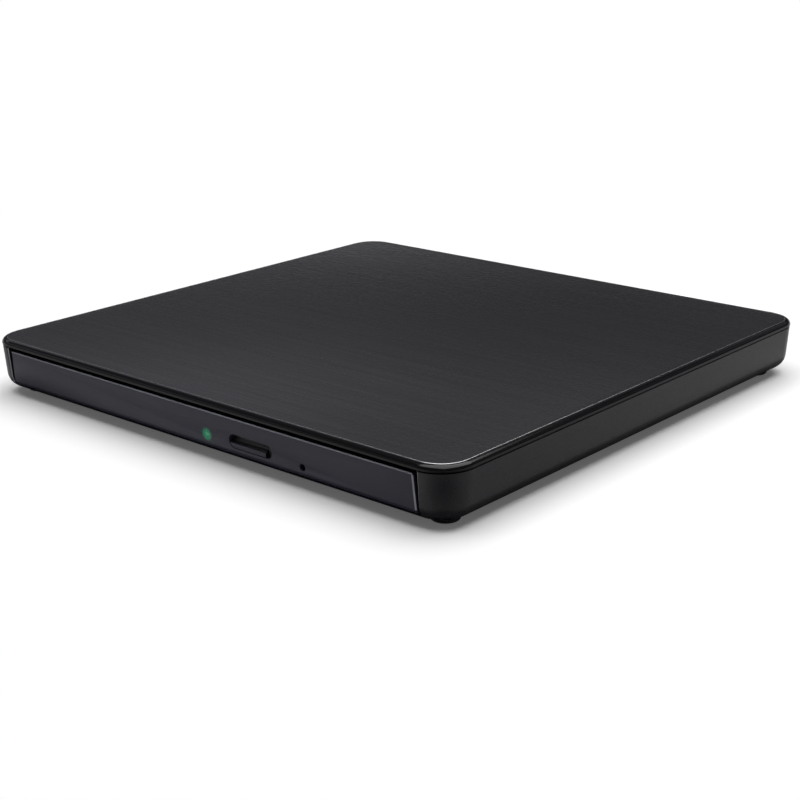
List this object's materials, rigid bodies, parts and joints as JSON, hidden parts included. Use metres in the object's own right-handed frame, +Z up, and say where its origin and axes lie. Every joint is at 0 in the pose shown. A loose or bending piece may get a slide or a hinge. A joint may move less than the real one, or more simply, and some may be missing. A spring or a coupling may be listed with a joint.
{
  "type": "external dvd drive",
  "caption": "Slim portable DVD drive with a brushed black top, a tray behind a plain front bezel, an oblong eject button and rubber feet.",
  "frame": {"origin": "on the ground under the centre of the case, in the plane of the feet", "axes": "+X to the right as seen from the front, +Y from the front bezel to the back, +Z up"},
  "size_m": [0.144, 0.1376, 0.014],
  "materials": {
    "brushed_top": "brushed hairline film under a clear semi-gloss coat",
    "case_plastic": "satin moulded plastic",
    "bezel_plastic": "fine matt moulded plastic",
    "button_plastic": "satin moulded plastic",
    "lamp_lens": "clear green light pipe",
    "foot_rubber": "matt rubber",
    "pressed_steel": "zinc plated, satin",
    "dark_steel": "satin",
    "bright_nickel": "polished",
    "tray_plastic": "fine matt moulded plastic",
    "circuit_board": "solder mask over glass fibre",
    "chip_resin": "matt moulding resin",
    "white_polymer": "natural acetal",
    "flat_cable_film": "amber film over flat conductors",
    "pickup_alloy": "die cast",
    "lens_glass": "coated moulded lens",
    "coil_copper": "enamelled copper winding"
  },
  "bodies": {
    "case": {"bottom_case": "case_plastic", "top_cover": "brushed_top", "foot_front_left": "foot_rubber", "case_screw_front_left": "pressed_steel", "foot_front_right": "foot_rubber", "case_screw_front_right": "pressed_steel", "foot_rear_left": "foot_rubber", "case_screw_rear_left": "pressed_steel", "foot_rear_right": "foot_rubber", "case_screw_rear_right": "pressed_steel", "lower_chassis": "pressed_steel", "chassis_cover": "pressed_steel", "tray_guide_left": "white_polymer", "tray_guide_right": "white_polymer", "main_board": "circuit_board", "controller_chip": "chip_resin", "motor_driver_chip": "chip_resin", "ribbon_socket": "white_polymer", "flat_cable": "flat_cable_film", "usb_socket_shell": "bright_nickel", "usb_socket_tongue": "chip_resin"},
    "tray": {"disc_tray": "tray_plastic", "tray_shield": "pressed_steel", "front_bezel": "bezel_plastic", "activity_lens": "lamp_lens", "tray_board": "circuit_board", "eject_switch": "bright_nickel", "activity_lamp": "white_polymer", "lock_coil": "coil_copper", "ejector_pin": "bright_nickel", "ejector_spring": "pressed_steel", "unit_plate": "dark_steel", "damper_1": "foot_rubber", "damper_2": "foot_rubber", "damper_3": "foot_rubber", "spindle_motor": "dark_steel", "guide_rod_inner": "bright_nickel", "guide_rod_outer": "bright_nickel", "stepping_motor": "dark_steel", "deck_cover": "pressed_steel"},
    "rail_left": {"sliding_rail_left": "dark_steel"},
    "rail_right": {"sliding_rail_right": "dark_steel"},
    "eject_button": {"eject_button": "button_plastic"},
    "lock_lever": {"lock_lever": "dark_steel"},
    "turntable": {"turntable": "tray_plastic", "turntable_ring": "foot_rubber"},
    "jaw_1": {"hub_jaw_1": "white_polymer"},
    "jaw_2": {"hub_jaw_2": "white_polymer"},
    "jaw_3": {"hub_jaw_3": "white_polymer"},
    "sled": {"pickup_sled": "pickup_alloy"},
    "lens": {"lens_holder": "tray_plastic", "objective_lens": "lens_glass"},
    "lead_screw": {"lead_screw": "bright_nickel"}
  },
  "joints": [
    {"name": "tray_slide", "type": "slide", "parent": "case", "child": "tray", "axis": [0, -1, 0], "range_m": [0, 0.125]},
    {"name": "rail_left_slide", "type": "slide", "parent": "case", "child": "rail_left", "axis": [0, -1, 0], "range_m": [0, 0.0625]},
    {"name": "rail_right_slide", "type": "slide", "parent": "case", "child": "rail_right", "axis": [0, -1, 0], "range_m": [0, 0.0625]},
    {"name": "eject_button_press", "type": "slide", "parent": "tray", "child": "eject_button", "axis": [0, 1, 0], "range_m": [0, 0.0008], "stiffness_N_per_m": 1500, "springref_m": -0.0006},
    {"name": "lock_lever_swing", "type": "hinge", "parent": "tray", "child": "lock_lever", "pos_m": [0.052, 0.0154, 0.0058], "axis": [0, 0, 1], "range_deg": [0, 12], "stiffness_Nm_per_rad": 0.002, "springref_deg": -5.73},
    {"name": "turntable_spin", "type": "hinge", "parent": "tray", "child": "turntable", "pos_m": [0, -0.0045, 0.0096], "axis": [0, 0, 1], "continuous": true},
    {"name": "sled_slide", "type": "slide", "parent": "tray", "child": "sled", "axis": [-0.7071, -0.7071, 0], "range_m": [0, 0.033]},
    {"name": "lead_screw_spin", "type": "hinge", "parent": "tray", "child": "lead_screw", "pos_m": [-0.03535, -0.01157, 0.0065], "axis": [-0.7071, -0.7071, 0], "range_deg": [-5, 3965]},
    {"name": "lens_focus", "type": "slide", "parent": "sled", "child": "lens", "axis": [0, 0, 1], "range_m": [-0.00035, 0.00035], "stiffness_N_per_m": 120},
    {"name": "jaw_1_slide", "type": "slide", "parent": "turntable", "child": "jaw_1", "axis": [0.7071, 0.7071, 0], "range_m": [0, 0.0006], "stiffness_N_per_m": 1000, "springref_m": -0.0004},
    {"name": "jaw_2_slide", "type": "slide", "parent": "turntable", "child": "jaw_2", "axis": [-0.9659, 0.2588, 0], "range_m": [0, 0.0006], "stiffness_N_per_m": 1000, "springref_m": -0.0004},
    {"name": "jaw_3_slide", "type": "slide", "parent": "turntable", "child": "jaw_3", "axis": [0.2588, -0.9659, 0], "range_m": [0, 0.0006], "stiffness_N_per_m": 1000, "springref_m": -0.0004}
  ],
  "couplings": [
    {"joint": "rail_left_slide", "follows": "tray_slide", "ratio": 0.5},
    {"joint": "rail_right_slide", "follows": "tray_slide", "ratio": 0.5},
    {"joint": "lead_screw_spin", "follows": "sled_slide", "rad_per_m": 2094.4}
  ]
}
